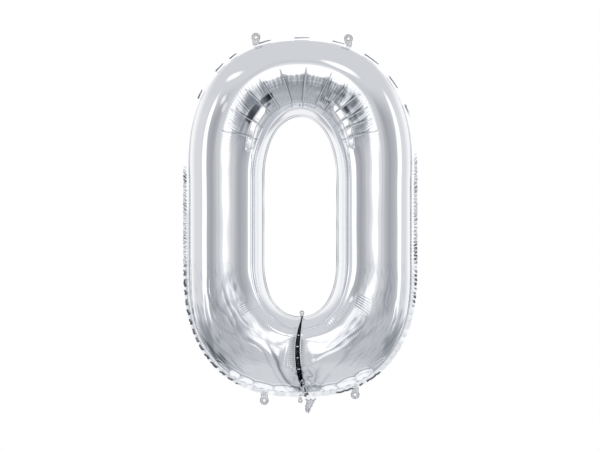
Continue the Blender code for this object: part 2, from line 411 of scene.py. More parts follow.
def ticks(along, across, spacing, seed):
    """Ripples of unit size straight across the tube, about one every spacing, in mm."""
    random = np.random.default_rng(seed)
    total = 0
    for stretch in (0.8, 1.0, 1.3):
        drift = 0.7 * sin(across / (15 * MM) + random.uniform(0, 2 * pi))
        total = total + sin(2 * pi * along / (spacing * MM * stretch) + random.uniform(0, 2 * pi) + drift)
    return total / 1.7


def window(value, start, stop, edge):
    """1 between start and stop, falling smoothly to 0 over edge outside them."""
    return ease(value, start - edge, start) * ease(-value, -stop - edge, -stop)


def pressed(u, v, turn, sink):
    """Moves the film inwards by sink. u is the place across the tube and v the height above the seams."""
    return u + sink * cos(turn), v - sink * sin(turn)


def press_flat(u, v, turn, start, stop, amount, softness):
    """Presses the stretch of section between two turns towards its chord by amount 0..1."""
    middle, half = (start + stop) / 2, (stop - start) / 2
    height = TUBE_DEPTH * (cos(turn - middle) - cos(half))
    sink = amount * soft_positive(height, softness)
    return u + sink * cos(middle), v - sink * sin(middle)


# The slack arc at the top of the hole: between these turns the film lies nearly flat across the tube,
# gathered in radial creases, with a fold line along its inner edge
SLACK_FROM, SLACK_SIDE_FROM = radians(84), radians(95)
SLACK_TO, SLACK_SIDE_TO = radians(130), radians(119)
SLACK_FLATNESS = 0.88
# Painted shade of the slack arc's facets.
SLACK_TONES = (0.50, 0.80)  # shade at its outer and inner edge
FOLD_LINE = radians(133.5)
# Where the creases cross the ring, as side * (3 - t), and how much nearer the top their inner ends lie
CREASE_RINGS = (-0.71, -0.57, -0.40, -0.275, -0.11, 0.03, 0.195, 0.335, 0.44, 0.545, 0.625, 0.71)
CREASE_TAPER = 0.13
CREASE_SPREAD = 0.9 * MM
FACET_SAG = 1.3 * MM
CREASE_DEPTH = 0.45 * MM
# Patches of painted shade in the slack arc: ring, turn, their half sizes, depth, and which end is darkest (-1
# left)
DARK_PATCHES = (
    (-0.325, 110.5, 0.065, 4.6, 0.90, 1), (-0.51, 110, 0.085, 5.4, 0.88, -1), (-0.36, 119, 0.045, 2, 0.5, 1),
    (-0.63, 106, 0.070, 2.4, 0.45, -1), (-0.64, 113, 0.060, 2.0, 0.40, 1), (0.27, 119, 0.040, 2.2, 0.50, 1),
    (0.49, 108, 0.045, 2.8, 0.60, -1), (0.385, 116, 0.035, 2.6, 0.45, 1), (0.59, 103, 0.045, 2.4, 0.45, -1),
)
# Bright patches, where the slack film faces the lamps
PALE_PATCHES = (
    (-0.49, 121, 0.070, 2.6, 1.0, 0), (-0.64, 122, 0.080, 4, 1.0, 0), (0.62, 116, 0.055, 4.5, 1.0, 0),
    (0.50, 117, 0.050, 3.5, 1.0, 0), (-0.33, 123, 0.045, 1.6, 0.9, 0), (0.40, 109, 0.030, 2.0, 0.7, 0),
)
# Small squares that break up the facets at both sides: how many degrees of turn each row takes
BRICK_TURN = radians(5.6)
BRICK_ROWS = 16


def patches(ring, turn, places, seed):
    """How much each point lies in one of the patches, which are longer round the ring than across it."""
    total = 0
    ragged = 0.22 * waves(ring * 0.2, turn * TUBE_DEPTH, 6, seed, 6, 2.5)
    for ring_0, turn_0, ring_half, turn_half, depth, dark_end in places:
        reach = ((ring - ring_0) / ring_half) ** 4 + ((turn - radians(turn_0)) / radians(turn_half)) ** 4
        ramp = 1 - 0.45 * ease(-dark_end * (ring - ring_0) / ring_half, -0.8, 0.8) * abs(dark_end)
        total = total + depth * ramp * (1 - ease(reach + ragged, 0.5, 1.6))
    return clip(total, 0, 1)


def bricks(ring, turn, facet, share):
    """Tone -1..1 of small squares: rows across the tube, two or three to each facet."""
    random = np.random.default_rng(19)
    tones = random.uniform(-1, 1, (BRICK_ROWS, 64))
    row = (turn - radians(80) + 0.02 * sin(ring * 37)) / BRICK_TURN + 0.35 * (facet % 3)
    column = facet * 3 + clip(share * 3, 0, 2.999)
    low = clip(np.floor(row), 0, BRICK_ROWS - 2).astype(int)
    blend = ease(row - low, 0.80, 1.0)
    column = column.astype(int)
    return tones[low, column] * (1 - blend) + tones[low + 1, column] * blend


# At both sides of the slack arc a step of the film faces the camera and mirrors the big lamp
LEDGE_FROM, LEDGE_TO, LEDGE_DROP = radians(115.5), radians(124.5), radians(130)


def side_ledges(ring, turn, u, v):
    """Lifts the ledges to a level face, and gives how much each point belongs to one."""
    there = window(abs(ring + 0.01), 0.43, 0.72, 0.12)
    uneven = 0.97 + 0.03 * sin(ring * 43) * sin(ring * 17)
    shift = radians(5) * ease(abs(ring), 0.55, 0.85)
    start = LEDGE_FROM + shift
    stop = start + (LEDGE_TO - LEDGE_FROM) * there
    drop = stop + (LEDGE_DROP - LEDGE_TO) * there + radians(0.5)
    level = TUBE_DEPTH * sin(start) + 0.10 * (u - TUBE_WIDTH * (1 - cos(start)) / 2)
    hold = window(turn, start, stop, radians(1.5)) * there * clip(uneven, 0, 1)
    fall = ease(-turn, -drop, -stop)
    lift = where(turn > start, maximum(level - v, 0), 0) * ease(there, 0, 0.7) * uneven
    return u, v + lift * where(turn < stop, 1, fall), hold


def top_slack(ring, turn, along, u, v, shade):
    """Flattens and creases the inner front of the top arc, and paints its shade: darker facets, dark patches, dark
    lines along the fold line and beside the creases, with painted highlights on the crease ridges, the bright
    patches and the ledges.
    """
    start = SLACK_FROM + (SLACK_SIDE_FROM - SLACK_FROM) * ease(abs(ring), 0.45, 0.85)
    stop = SLACK_TO + (SLACK_SIDE_TO - SLACK_TO) * ease(abs(ring), 0.25, 0.55)
    arc = 1 - ease(abs(ring + 0.005), 0.66, 0.92)
    u, v = press_flat(u, v, turn, start, stop, SLACK_FLATNESS * arc, 1.6 * MM)
    u, v, ledge = side_ledges(ring, turn, u, v)
    across = turn * TUBE_DEPTH
    random = np.random.default_rng(31)
    padded = array((CREASE_RINGS[0] - 0.14, *CREASE_RINGS, CREASE_RINGS[-1] + 0.12))
    crease_from = radians(79) + radians(5) * random.random(padded.size)
    crease_to = radians(135) + radians(8) * random.random(padded.size)
    crease_tilt = CREASE_TAPER * padded + random.uniform(-0.015, 0.015, padded.size)
    tone = random.uniform(0.88, 1.1, padded.size)
    real = (np.arange(padded.size) > 0) & (np.arange(padded.size) < padded.size - 1)
    after = clip(np.searchsorted(padded, ring), 1, padded.size - 1)
    gap = padded[after] - padded[after - 1]
    share = clip((ring - padded[after - 1]) / gap, 0, 1)
    nearer = where(share < 0.5, after - 1, after)
    metres = 0.28 * RING_WIDTH * (1 + 0.8 * (1 - cos(maximum(pi - turn, 0))) / 2)
    offset = (ring - padded[nearer] + crease_tilt[nearer] * (turn - radians(112))) * metres
    there = real[nearer] * window(turn, crease_from[nearer], crease_to[nearer], radians(4))
    groove = ridge(offset, 0, CREASE_SPREAD) * there
    hatch = ticks(along, across, 4.4, 11)
    soft = ease(abs(ring), 0.20, 0.45)
    left = ease(-ring, 0.40, 0.58)
    inside = window(turn, start + radians(9 + 0.9 * hatch + 5 * left), stop, radians(6 + 6 * soft)) * arc
    ends = ease(0.80 - abs(ring + 0.005), 0.0, 0.05)
    sag = (1 - bulge(share)) * window(turn, radians(92), radians(126), radians(12)) * arc * ends
    hatch = hatch * window(turn, start, radians(98), radians(12)) * arc
    rumple = waves(along, across * 0.2, 4.4, 12, 7) * inside
    edge = ridge(turn, FOLD_LINE, radians(1.5)) * arc
    fine_sink = 0.07 * MM * hatch + 0.022 * MM * rumple + 0.7 * MM * edge
    u, v = pressed(u, v, turn, FACET_SAG * sag + CREASE_DEPTH * groove + fine_sink)
    # The facets' painted shade, darkest at the outer edge, varied at random from facet to facet and square to
    # square.
    ramp = SLACK_TONES[0] + (SLACK_TONES[1] - SLACK_TONES[0]) * ease(turn, radians(92), radians(128))
    sides = maximum(ease(ring, 0.10, 0.24), 0.7 * ease(-ring, 0.42, 0.56))
    fine = clip(ticks(along, across, 3.7, 14), -1, 1)
    mosaic = sides * (0.42 * bricks(ring, turn, after, share) + 0.24 * fine)
    facet = ramp * tone[after] * (1 + 0.12 * hatch + 0.06 * rumple + mosaic)
    facet = facet * (1 - patches(ring, turn, DARK_PATCHES, 15)) ** 1.5
    facet = facet + (1 - facet) * patches(ring, turn, PALE_PATCHES, 16)
    tight = ease(abs(ring + 0.005), 0.50, 0.80) * 0.6
    facet = facet + (1 - facet) * clip(1.3 * ledge, 0, 1)
    shade = shade * (1 - inside * (1 - tight)) + facet * inside * (1 - tight)
    # Painted shade: ticks at the outer edge, a dark line along the fold line and beside each crease, and bright
    # crease ridges inside the arc.
    rim_hatch = window(turn, start - radians(4), start + radians(14), radians(6)) * arc * soft
    shade = shade * (1 - 0.30 * rim_hatch * clip(0.25 + 0.5 * hatch + 0.4 * fine, 0, 1))
    shade = shade * (1 - 0.22 * edge)
    beside = ridge(offset * -np.sign(ring + 0.01), 2.3 * MM, 1.1 * MM) * there
    shade = shade * (1 - 0.50 * beside * inside - 0.40 * groove * (1 - inside))
    shade = shade + (1 - shade) * 0.9 * groove * inside
    return u, v, clip(shade, 0.03, 1)


# The bottom of the ring is lopsided: its ridge lies nearer the hole, with a flatter slope outside it
LEAN = 0.27


def lopsided(t, turn):
    return -LEAN * (1 - ease(t, 0.45, 0.95)) * sin(2 * turn) / 2


# The stretch beside the outer seam at the bottom hardly fills: flat panes with a joint every few cm
BAND_WIDTH = 12 * MM
BAND_BANK = 8 * MM
# Over the valve the film slopes up from the seam, which leaves room for the flaps to part
VALVE_REACH = 26 * MM
VALVE_SLOPE = 0.21


def over_valve(side, t):
    return (side > 0) * (1 - ease(slit_distance(side, t), VALVE_REACH - 6 * MM, VALVE_REACH))


def low_band(side, t, along, u, v, shade):
    """Flattens the stretch beside the seam into panes, with a dent at each joint, and paints shade into the
    joints, along the bank and lightly over the panes.
    """
    arc = ease(0.54 - t, 0.0, 0.16) * ease(slit_distance(side, t), 2 * MM, 9 * MM)
    folds = Folds(5 * RING_HEIGHT, 34, 58, 21)
    distance, depth, share, lean = folds.look(along)
    wide = 1 + 0.45 * (side > 0) * window(t, 0.24, 0.42, 0.12)
    edge = 0.78 + 0.30 * bulge(share) ** 0.6 + 0.10 * lean
    edge = BAND_WIDTH * edge * wide * ease(0.60 - t, 0, 0.3)
    flat = arc * (1 - ease(u, edge, edge + BAND_BANK))
    joint = exp(-distance / (1.1 * MM)) * flat
    pane = MM * (bulge(share) * sin(clip(pi * u / (2 * BAND_WIDTH), 0, pi)) - 0.7 * joint * depth)
    pane = pane + over_valve(side, t) * VALVE_SLOPE * u
    v = v * (1 - flat) + flat * pane
    bank = arc * window(u, edge + 1 * MM, edge + 3 * MM, 2 * MM)
    # Painted shade: dark at the joints, a little along the bank and over the panes.
    return u, v, shade * (1 - 0.22 * joint) * (1 - 0.05 * bank) * (1 - 0.11 * flat)


# The stretch beside the slit that lies flat enough to mirror the big lamp: where it starts and stops
LAMP_FACETS = {
    -1: ((0.0, 0.05, 0.08, 0.13, 0.20, 0.33, 0.42), (73, 73, 75, 83, 93, 106, 112), 121),
    1: ((0.0, 0.05, 0.09, 0.14, 0.26, 0.40, 0.48), (75, 76, 80, 87, 97, 106, 110), 116),
}


def lamp_facets(side, t, turn, u, v):
    """Presses that stretch of each lobe nearly flat."""
    for on_side, (places, starts, stop) in LAMP_FACETS.items():
        start = radians(interp(t, places, starts))
        amount = 0.92 * (side == on_side) * (1 - ease(t, places[-2] - 0.06, places[-1] + 0.06))
        u, v = press_flat(u, v, turn, start, radians(stop), amount, 0.8 * MM)
    return u, v


def seam_puckers(side, t, turn, along, u, v):
    """Small puckers that run in from the outer seam and die out within a few cm."""
    folds = Folds(4 * RING_HEIGHT, 13, 25, 5)
    distance, depth, share, _ = folds.look(along)
    reach = exp(-TUBE_DEPTH * turn / (10 * MM * (0.6 + depth)))
    size = (0.06 + 0.94 * ease(1.0 - t, 0.0, 0.35)) * (1 - over_valve(side, t))
    sink = size * reach * depth * (1.1 * MM * (1 - bulge(share)) + 0.8 * MM * exp(-distance / (1.6 * MM)))
    return u + sink, v - 0.35 * sink


# Long folds of the two lower lobes: side, width and depth in mm, painted shade, then places (t, turn) on the way
LONG_FOLDS = (
    (-1, 6.0, 4.0, 0.85, (0.33, 108), (0.20, 94), (0.13, 80), (0.08, 60), (0.04, 38), (0.01, 8), (0.0, -10)),
    (-1, 3.5, 1.2, 0.40, (0.40, 96), (0.26, 86), (0.15, 68), (0.085, 44), (0.05, 16), (0.04, 0)),
    (-1, 3.5, 0.9, 0.40, (0.66, 92), (0.57, 86), (0.48, 85), (0.37, 90), (0.26, 88)),
    (-1, 3.0, 1.0, 0.32, (0.70, 66), (0.62, 70), (0.54, 80), (0.44, 74), (0.36, 66)),
    (-1, 3.5, 0.7, 0.34, (0.90, 70), (0.78, 72), (0.70, 82), (0.59, 83), (0.50, 78)),
    (-1, 3.5, 1.0, 0.30, (0.96, 56), (0.78, 50), (0.70, 48), (0.58, 40)),
    (-1, 3.0, 0.9, 0.30, (0.84, 60), (0.73, 62), (0.64, 64), (0.59, 52), (0.50, 50)),
    (-1, 6.0, 2.4, 0.45, (0.80, 14), (0.68, 20), (0.58, 28), (0.52, 31), (0.44, 27)),
    (-1, 4.0, 1.2, 0.40, (0.60, 44), (0.46, 50), (0.36, 42), (0.27, 34)),
    (-1, 2.5, 0.6, 0.22, (0.99, 64), (0.88, 62), (0.80, 66)),
    (-1, 3.0, 1.2, 0.35, (1.10, 12), (0.98, 20), (0.86, 16), (0.74, 8)),
    (-1, 2.5, 0.7, 0.24, (0.56, 62), (0.48, 63), (0.42, 56)),
    (-1, 3.5, 1.0, 0.28, (0.80, 92), (0.70, 98), (0.58, 100), (0.46, 104)),
    (-1, 3.0, 0.9, 0.26, (0.92, 84), (0.80, 86), (0.70, 90), (0.60, 92)),
    (1, 4.0, 1.6, 0.45, (0.70, 66), (0.62, 74), (0.46, 82), (0.34, 80), (0.22, 70), (0.16, 62)),
    (1, 3.0, 1.2, 0.36, (0.56, 78), (0.44, 87), (0.34, 85), (0.26, 78)),
    (1, 5.0, 1.5, 0.42, (0.64, 84), (0.56, 89), (0.38, 96), (0.19, 92), (0.09, 86), (0.05, 78)),
    (1, 6.0, 1.8, 0.36, (0.66, 98), (0.58, 103), (0.44, 106), (0.26, 104), (0.14, 96)),
    (1, 6.0, 2.0, 0.40, (0.50, 44), (0.54, 38), (0.62, 32), (0.72, 26), (0.82, 20)),
    (1, 4.5, 1.3, 0.30, (0.86, 52), (0.74, 46), (0.64, 48), (0.54, 42)),
    (1, 3.0, 1.0, 0.36, (0.98, 68), (0.86, 72), (0.80, 72), (0.72, 60)),
    (1, 2.5, 0.8, 0.26, (0.60, 58), (0.52, 46), (0.47, 40), (0.42, 34)),
    (1, 3.0, 0.8, 0.22, (0.44, 66), (0.36, 66), (0.26, 56)),
    (1, 4.0, 1.4, 0.40, (0.13, 80), (0.08, 66), (0.05, 46), (0.035, 24), (0.03, 4)),
    (1, 3.0, 1.1, 0.34, (0.17, 64), (0.11, 50), (0.07, 34), (0.05, 14)),
)


def tube_point(side, t, turn):
    """A place on the smooth round tube."""
    x, z = between(outer_seam(side, t), loop_points(HOLE_SEAM, side, t), (1 - cos(turn)) / 2)
    return stack((x, -TUBE_DEPTH * sin(turn) * shoulder(side, t), z), -1)


# Patches of painted shade where the lower lobes meet the rim: side, t, turn, half sizes, depth of shade
LOBE_SHADE_PATCHES = (
    (-1, 0.63, 30, 0.20, 20, 0.42), (-1, 0.44, 34, 0.10, 12, 0.22), (-1, 0.56, 24, 0.09, 8, 0.35),
    (-1, 0.62, 102, 0.24, 16, 0.26), (-1, 0.60, 70, 0.20, 14, 0.10), (-1, 0.86, 94, 0.14, 12, 0.16),
    (1, 0.62, 30, 0.17, 18, 0.36), (1, 0.46, 8, 0.12, 12, 0.20), (1, 0.46, 92, 0.18, 10, 0.24),
    (1, 0.62, 106, 0.20, 10, 0.16),
)


# Painted shade over the lower lobes: darker patches and fine dark streaks.
def lobe_shade(side, t, turn, along):
    across = turn * TUBE_DEPTH
    streaky = 0.38 * waves(along + across * 0.7, across, 9, 51, 7, 6)
    total = 0
    for on_side, t_0, turn_0, t_half, turn_half, depth in LOBE_SHADE_PATCHES:
        reach = ((t - t_0) / t_half) ** 2 + ((turn - radians(turn_0)) / radians(turn_half)) ** 2
        total = total + (side == on_side) * depth * (1 - ease(reach + streaky, 0.0, 1.4))
    lobe = window(t, 0.32, 0.95, 0.15) * window(turn, radians(34), radians(104), radians(14))
    fine = waves(along + across * 0.9, across, 6.5, 52, 8, 7)
    return (1 - clip(total, 0, 0.8)) * (1 - lobe * clip(0.03 + 0.065 * fine, 0, 0.2))


FOLD_DEPTH = 0.65
FOLD_STEPS = 44  # points on each fold's line
FOLD_ROOM = 0.14  # how far past a fold's ends, in t, it can still be felt


def fold_reach(spot, line):
    """For each place: distance to the line, which side of it (-1 or 1), and how far along it, 0..1."""
    best = np.full(spot.shape[:2], 1e9)
    bank = np.zeros(spot.shape[:2])
    progress = np.zeros(spot.shape[:2])
    last = len(line) - 1
    for k in range(len(line)):
        gap = spot - line[k]
        distance = (gap**2).sum(-1)
        ahead = line[min(k + 1, last)] - line[max(k - 1, 0)]
        cross = gap[..., 0] * ahead[2] - gap[..., 2] * ahead[0]
        closer = distance < best
        best = where(closer, distance, best)
        bank = where(closer, cross, bank)
        progress = where(closer, k / last, progress)
    return np.sqrt(best), np.sign(bank), progress


def long_folds(side, t, turn, u, v, shade):
    """Presses the long folds of the lower lobes, each a valley with one steeper bank, and paints shade along them,
    darkest on the steeper bank.
    """
    sink = np.zeros(u.shape)
    for fold_side, width, depth, dark, *places in LONG_FOLDS:
        knots = array(places)
        fine = linspace(0, len(places) - 1, FOLD_STEPS)
        fold_t, fold_turn = (interp(fine, np.arange(len(places)), knot) for knot in knots.T)
        line = tube_point(float(fold_side), fold_t, radians(fold_turn))
        near = (side == fold_side)
        near &= (t > knots[:, 0].min() - FOLD_ROOM) & (t < knots[:, 0].max() + FOLD_ROOM)
        near = near[:, 0]
        spot = tube_point(side[near], t[near], turn)
        distance, bank, progress = fold_reach(spot, line)
        taper = ease(progress, 0, 0.3) * ease(1 - progress, 0, 0.3)
        wander = 1 + 0.2 * waves(distance * 0.3, progress * 0.12, 34, int(100 * width + 700 * dark), 4)
        reach = distance / (width * MM) * where(bank > 0, 1.5, 0.8) * wander
        sink[near] += FOLD_DEPTH * depth * MM * taper * exp(-(reach**1.6))
        # Painted shade along the fold, darkest on the steeper bank.
        tight = distance / (width * MM) * where(bank > 0, 2.6, 1.0) * wander
        shade[near] *= 1 - (0.45 + 0.55 * dark) * dark * taper * exp(-(tight**1.3))
    u, v = pressed(u, v, turn, sink)
    return u, v, shade


# Patches of fine ripples across the tube: side, t from, to, turn from, to, wavelength and height
RIPPLES = (
    (1, 0.665, 0.765, 93, 113, 4.0, 0.60),
    (1, 0.26, 0.62, 120, 146, 4.6, 0.13),
    (-1, 0.62, 0.70, 104, 116, 3.9, 0.35),
    (-1, 0.22, 0.60, 122, 148, 4.4, 0.13),
    (-1, 0.70, 0.80, 98, 110, 3.3, 0.18),
)


def ripples(side, t, turn, along_in, u, v, shade):
    sink = 0
    dim = 0
    for on_side, t_low, t_high, turn_low, turn_high, wavelength, height in RIPPLES:
        patch = (side == on_side) * window(t, t_low, t_high, 0.02)
        patch = patch * window(turn, radians(turn_low), radians(turn_high), radians(4))
        skew = 0.5 * waves(along_in, turn * TUBE_DEPTH, 26, 33, 4)
        crest = abs(sin(pi * along_in / (wavelength * MM) + skew)) ** 0.7
        sink = sink + patch * height * MM * (1 - crest)
        # Painted shade in the troughs of the ripples.
        dim = dim + patch * min(height, 0.5) * (1 - ease(crest, 0.45, 0.85))
    u, v = pressed(u, v, turn, sink)
    return u, v, shade * (1 - 0.8 * dim)


# The slit: the two lobes drop to a web painted near black with shade, their edges puckered, crumpled near the
# lower end
SLIT_PUCKER = 5.0 * MM
SLIT_OPENING = 1.3 * MM  # how much wider the slit stands in its middle than at its upper end
SLIT_CLOSED = 2.7 * MM
# Painted shade of the web: near black, as it lies deep between the lobes.
WEB_SHADE = 0.02
HATCH_REACH = 19 * MM  # the hatched strip left of the slit


def slit_edge(side, t, turn, width, x, v, shade):
    """Puckers, hatches and crushes the film beside the slit, and paints shade there: near black by the web, with
    painted glints near the lower end, and darker hatch lines and crumples.
    """
    length = width * (1 - cos(turn)) / 2
    from_slit = slit_distance(side, t) * np.ones_like(v)
    near = 1 - ease(from_slit, 4 * MM, 30 * MM)
    wall = shoulder(side, t)
    teeth = abs(sin(pi * length / SLIT_PUCKER + 0.4 * waves(length, 0, 30, 45, 4))) ** 0.6
    opening = SLIT_OPENING * sin(clip(turn * 1.05, 0, pi)) ** 1.3 - SLIT_CLOSED
    x = x + side * near * (0.8 * MM * (teeth - 0.5) + opening)
    reach = where(side < 0, HATCH_REACH, 0.45 * HATCH_REACH)
    lip = window(from_slit, 1.5 * MM, reach, 3 * MM) * window(turn, radians(28), radians(135), radians(12))
    v = v - lip * 0.5 * MM * (1 - teeth)
    low = (1 - ease(length, 45 * MM, 75 * MM)) * ease(turn, radians(17), radians(32))
    near_low, near_high = where(side > 0, 12, 4) * MM, where(side > 0, 34, 20) * MM
    crush = low * (1 - ease(from_slit, near_low, near_high))
    sharp = 1 - abs(waves(length, from_slit, 17, 42, 6))
    x = x + crush * 0.9 * MM * waves(length, from_slit, 9, 41, 5)
    v = v + crush * 3.0 * MM * clip(sharp, -1, 1) * wall
    # Painted shade: near black on the wall by the web, lifted by painted glints low down, darker in the hatch and
    # the crumples.
    dark = 1 - ease(from_slit + 0.5 * MM * teeth, 0.4 * MM, 1.5 * MM)
    glint = low * clip(1.6 * waves(length, v, 9, 44, 6) - 0.2, 0, 1)
    hatch = lip * (1 - ease(teeth, 0.35, 0.75))
    dim = crush * wall * (0.12 + 0.45 * ease(sharp, 0.55, 1.0))
    shade = shade * (1 - 0.97 * dark * (1 - 0.8 * glint)) * (1 - 0.34 * hatch) * (1 - dim)
    return x, v, shade


def ring_lengths(side, t, loop):
    """Distance of each row round a loop, from the slit's left edge."""
    x, z = loop_points(loop, side, t)
    return run_length(np.hypot(np.diff(x[:, 0]), np.diff(z[:, 0])))[:, None]


def slit_bow(t, turn):
    return SLIT_BOW * clip(1 - t / SLIT_BOW_REACH, 0, 1) ** 2 * sin(turn) ** 2


def dome(side, t, turn):
    """The front of the tube between its seams: points (rows, columns, 3), and their shade."""
    along_out = ring_lengths(side, t, OUTER_SEAM)
    along_in = ring_lengths(side, t, HOLE_SEAM)
    outer, inner = outer_seam(side, t), loop_points(HOLE_SEAM, side, t)
    width = np.hypot(inner[0] - outer[0], inner[1] - outer[1])
    u = width * (1 - cos(turn)) / 2
    v = TUBE_DEPTH * (sin(turn) + lopsided(t, turn))
    shade = np.ones_like(v)
    u, v, shade = top_slack(side * (3 - t), turn, along_in, u, v, shade)
    u, v = lamp_facets(side, t, turn, u, v)
    u, v, shade = low_band(side, t, along_out, u, v, shade)
    u, v = seam_puckers(side, t, turn, along_out, u, v)
    u, v, shade = long_folds(side, t, turn, u, v, shade)
    shade = shade * lobe_shade(side, t, turn, along_out)
    u, v, shade = ripples(side, t, turn, along_in, u, v, shade)
    across = turn * TUBE_DEPTH
    streaks = waves(along_out, across, 9, 4, 6, 60)
    streaks = streaks * window(turn, radians(18), radians(165), radians(8))
    v = v + 0.035 * MM * streaks + waves(along_out, across, 150, 3) * 0.12 * MM * sin(turn)
    v = maximum(v, 0) * shoulder(side, t)
    x, z = between(outer, inner, u / width)
    x, v, shade = slit_edge(side, t, turn, width, x - slit_bow(t, turn), v, shade)
    return stack((x, -PLY_Y - v, z), -1), shade


# ---- the flat rims
Tab = namedtuple("Tab", "node up head neck hole drop")
HANG = (10.5 * MM, 16.5 * MM, 3.25 * MM, 15.0 * MM)
SMALL = (5.5 * MM, 8.0 * MM, 1.8 * MM, 8.5 * MM)
TABS = (
    Tab("hang_tab_top_left", 1, *HANG),
    Tab("hang_tab_top_right", 1, *HANG),
    Tab("hang_tab_bottom_left", -1, *HANG),
    Tab("hang_tab_bottom_right", -1, *HANG),
    Tab("tail_tab", -1, *SMALL),
    Tab("hole_tab", 1, *SMALL),
)


def joint_of(body):
    return next(joint for joint in frame["joints"] if joint["child"] == body)


def body_of(node):
    return next(body for body, nodes in frame["record"]["behaviour"]["bodies"].items() if node in nodes)


FOLD_GAP = 0.25 * MM


def short_of_fold(tab, x, z):
    """Keeps the rim just short of a tab's fold line, so that the tab can bend."""
    joint = joint_of(body_of(tab.node))
    foot_x, _, foot_z = joint["pos_m"]
    line = foot_z + joint["axis"][2] / joint["axis"][0] * (x - foot_x) - tab.up * FOLD_GAP
    here = (abs(x - foot_x) < tab.neck / 2 + 0.6 * MM) & (abs(z - foot_z) < 3 * RIM_WIDTH)
    return where(here, tab.up * np.minimum(tab.up * z, tab.up * line), z)


RIM_PANES = Folds(5 * RING_HEIGHT, 15, 22, 8)
HOLE_FOLDS = Folds(3 * RING_HEIGHT, 30, 60, 9)


def marks(along, sizes, seed):
    """Strength 0..1 of marks of random length and gap along a line, and the share of the way through."""
    shortest, longest, gap_low, gap_high = sizes
    random = np.random.default_rng(seed)
    count = int(4 * RING_HEIGHT / (shortest + gap_low)) + 2
    lengths = random.uniform(shortest, longest, count)
    starts = np.cumsum(lengths + random.uniform(gap_low, gap_high, count)) - lengths
    strengths = random.uniform(0.7, 1.0, count)
    here = clip(np.searchsorted(starts, along) - 1, 0, count - 1)
    share = (along - starts[here]) / lengths[here]
    return window(share, 0.12, 0.88, 0.12) * strengths[here], clip(share, 0, 1)


# Marks of the rim, curled lips painted dark with shade: shortest and longest, then the smallest and largest gap
# between them
TOP_DASHES = array((18, 52, 8, 60)) * MM
LOW_DASHES = array((14, 24, 3, 8)) * MM
CORNER_DASHES = array((5, 10, 2, 6)) * MM


def rim_zones(side, t):
    """How much of each kind of edge a row of the rim has: curled dashes, scribbled creases, panes."""
    top = ease(t, 2.20, 2.32)
    left = side < 0
    low_left = left * window(t, 0.33, 1.00, 0.04)
    low_right = window(t, 0.145, 0.23, 0.01) + window(t, 0.28, 0.295, 0.006) + window(t, 0.33, 0.42, 0.01)
    low_right = ~left * low_right
    corner = ~left * window(t, 0.86, 0.98, 0.03)
    scribbled = window(t, 1.04, where(left, 1.98, 2.03), 0.05)
    panes = window(t, 0.05, 0.95, 0.15)
    return top, low_left, low_right, corner, scribbled, panes


def outer_rim(side, t):
    """The rim outside the outer seam: flat panes with curled lips, creased on the sides, with shade painted along
    the lips' edges, into the creases, at the pane notches, along two lines on the left and on the tabs' feet.
    """
    share = linspace(0, 1, RIM_COLUMNS + 1)[None, :-1] ** 0.8
    along = ring_lengths(side, t, RIM_EDGE)
    distance, depth, pane, lean = RIM_PANES.look(along)
    top, low_left, low_right, corner, scribbled, panes = rim_zones(side, t)
    free = 1 - share
    dash, slip = 0 * along, 0 * along
    for zone, sizes, seed in (
        (top, TOP_DASHES, 62), (low_left, LOW_DASHES, 63), (corner, CORNER_DASHES, 64),
    ):
        strength, way = marks(along, sizes, seed)
        slip = where(zone * strength > dash, way, slip)
        dash = maximum(dash, zone * strength)
    slip = where(low_right > dash, 0.7, slip)
    dash = maximum(dash, low_right)
    lip = ridge(free, 0.70 + 0.22 * slip, 0.20, 4)
    across = free * RIM_WIDTH
    scribble = waves(along + across * side, across, 6.5, 17, 8)
    nicks = waves(along, across * 0.5, 3.6, 18, 6)
    patchy = 0.75 + 0.35 * waves(along, 0, 70, 20, 4)
    creased = scribbled * clip(patchy, 0.60, 1) * ease(free, 0.34, 0.50)
    y = MM * (free**1.2 * 0.30 * lean * bulge(pane) + creased * 0.8 * scribble + lip * dash * 1.1)
    notch = exp(-distance / (1.2 * MM)) * depth * panes
    nicked = 0.10 * scribbled * clip(nicks, -0.5, 1)
    inward = share + free * (0.13 * notch + 0.07 * (1 - bulge(pane)) + nicked)
    # Painted shade: dark along the curled lips, at the notches between panes and a little over the panes.
    shade = 1 - 0.95 * dash * lip - 0.22 * notch - 0.10 * panes
    # Painted shade in the scribbled creases.
    crease_shade = ease(scribble + 0.6 * nicks, -0.60, 0.25)
    shade = shade * (1 - creased * (0.06 + 0.90 * crease_shade))
    # Painted shade along two lines on the left of the rim.
    line = ridge(share, 0.52, 0.11) * (side < 0) * window(t, 0.36, 1.0, 0.06)
    edge_line = ridge(share, 0.80, 0.12) * (side < 0) * window(t, 1.05, 1.55, 0.1)
    shade = shade * (1 - 0.42 * line) * (1 - 0.30 * edge_line)
    x, z = between(loop_points(RIM_EDGE, side, t), outer_seam(side, t), inward)
    for tab in TABS:
        foot_x, _, foot_z = joint_of(body_of(tab.node))["pos_m"]
        away = abs(x - foot_x) / (0.42 * tab.neck) + 10 * (abs(z - foot_z) > 3 * RIM_WIDTH)
        foot = ridge(away, 0, 1, 4) * ease(free, 0.15, 0.5)
        wrinkle = waves(x, z, 4.5, 67, 7)
        y = (y + 0.5 * MM * foot * wrinkle) * (1 - ridge(away, 0, 1.3, 4) * ease(free, 0.7, 0.95))
        z = short_of_fold(tab, x, z)
        # Painted shade on the crumpled foot of each tab.
        shade = shade * (1 - foot * clip(0.35 + 0.4 * wrinkle, 0, 0.75))
    return stack((x, y * np.ones_like(x), z), -1), clip(shade, 0.05, 1) * np.ones_like(x)


